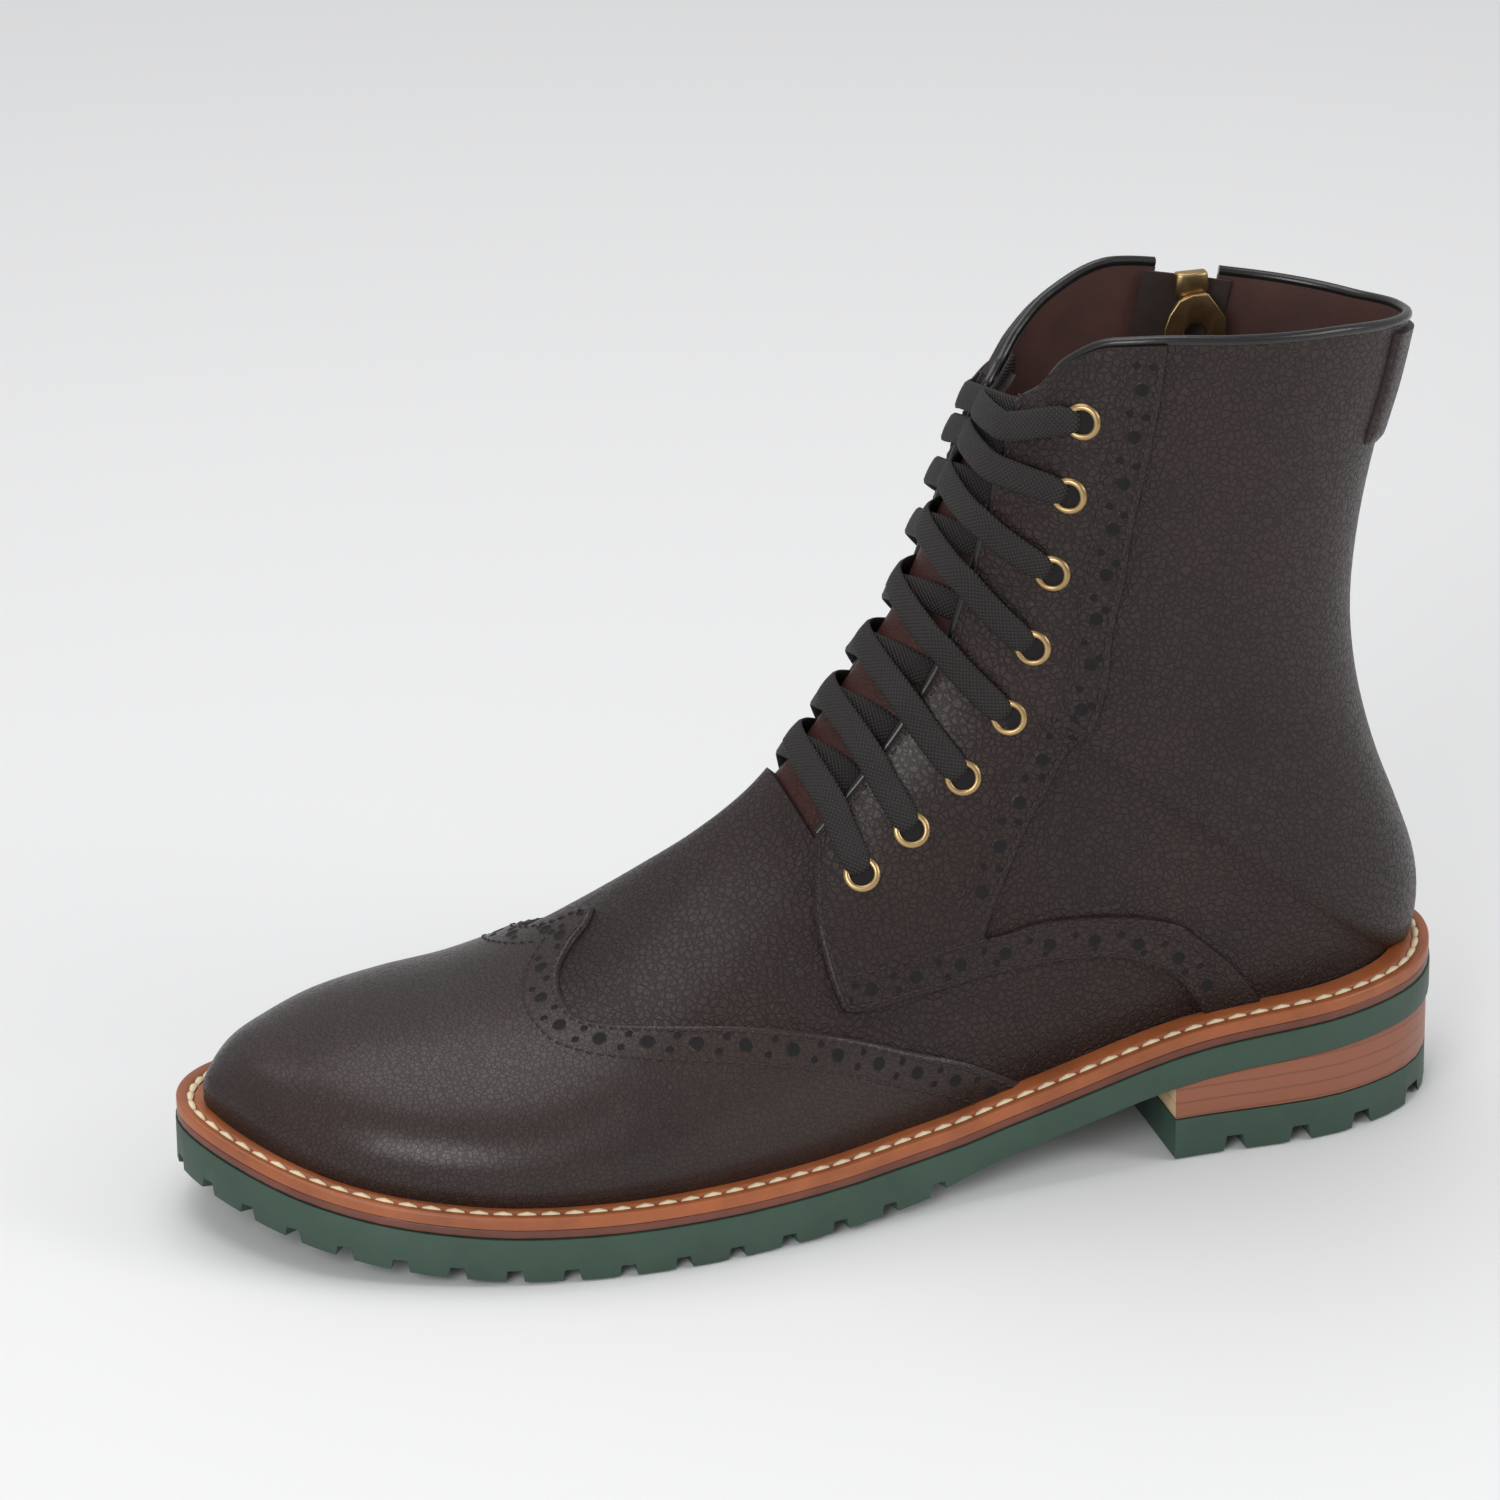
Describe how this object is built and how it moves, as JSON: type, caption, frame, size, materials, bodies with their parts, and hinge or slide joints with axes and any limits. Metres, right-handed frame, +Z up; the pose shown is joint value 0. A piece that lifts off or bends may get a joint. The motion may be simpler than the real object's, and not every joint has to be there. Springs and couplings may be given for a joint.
{
  "type": "wingtip boot",
  "caption": "Ankle-high wingtip lace-up boot in brogued leather, with a side zip, a stitched welt, a stacked heel and a lugged rubber sole.",
  "frame": {"origin": "on the ground under the middle of the sole's outline, at the centre of the bounding box's base", "axes": "+X points to the toe, +Y to the outer side of the foot, +Z up"},
  "size_m": [0.292, 0.1078, 0.1974],
  "materials": {
    "leather": "dark brown waxed grain leather, glossier at the toe",
    "tongue_leather": "reddish dark brown grain leather",
    "lining": "matt dark reddish brown lining leather",
    "welt": "tan leather with a polished edge",
    "midsole": "reddish brown leather edge",
    "rubber": "matt dark green rubber",
    "stack": "stacked leather, brown edge and natural tan breast",
    "piping": "glossy black leather binding",
    "lace": "flat waxed woven cotton, black-brown",
    "brass": "antique brass",
    "tape": "dark woven zip tape"
  },
  "bodies": {
    "boot": {"back_tab": "leather", "eyelet_inner_1": "brass", "eyelet_inner_2": "brass", "eyelet_inner_3": "brass", "eyelet_inner_4": "brass", "eyelet_inner_5": "brass", "eyelet_inner_6": "brass", "eyelet_inner_7": "brass", "eyelet_inner_8": "brass", "eyelet_outer_1": "brass", "eyelet_outer_2": "brass", "eyelet_outer_3": "brass", "eyelet_outer_4": "brass", "eyelet_outer_5": "brass", "eyelet_outer_6": "brass", "eyelet_outer_7": "brass", "eyelet_outer_8": "brass", "eyestay_inner": "leather", "eyestay_outer": "leather", "heel_stack": "stack", "heel_top_piece": "rubber", "insole": "lining", "lace_crossing_1": "lace", "lace_crossing_2": "lace", "lace_crossing_3": "lace", "lace_crossing_4": "lace", "lace_crossing_5": "lace", "lace_crossing_6": "lace", "lace_crossing_7": "lace", "midsole": "midsole", "outsole": "rubber", "piping_inner": "piping", "piping_outer": "piping", "tongue": "tongue_leather", "upper": "leather", "welt": "welt", "wing_cap": "leather", "zip_guard": "tongue_leather", "zip_slider": "brass", "zip_tape": "tape", "zip_teeth": "brass"},
    "zip_pull": {"zip_pull": "brass"}
  },
  "joints": [
    {"name": "zip_pull_swing", "type": "hinge", "parent": "boot", "child": "zip_pull", "pos_m": [-0.09688, -0.02569, 0.18286], "axis": [1, 0, 0], "range_deg": [0, 150]}
  ]
}
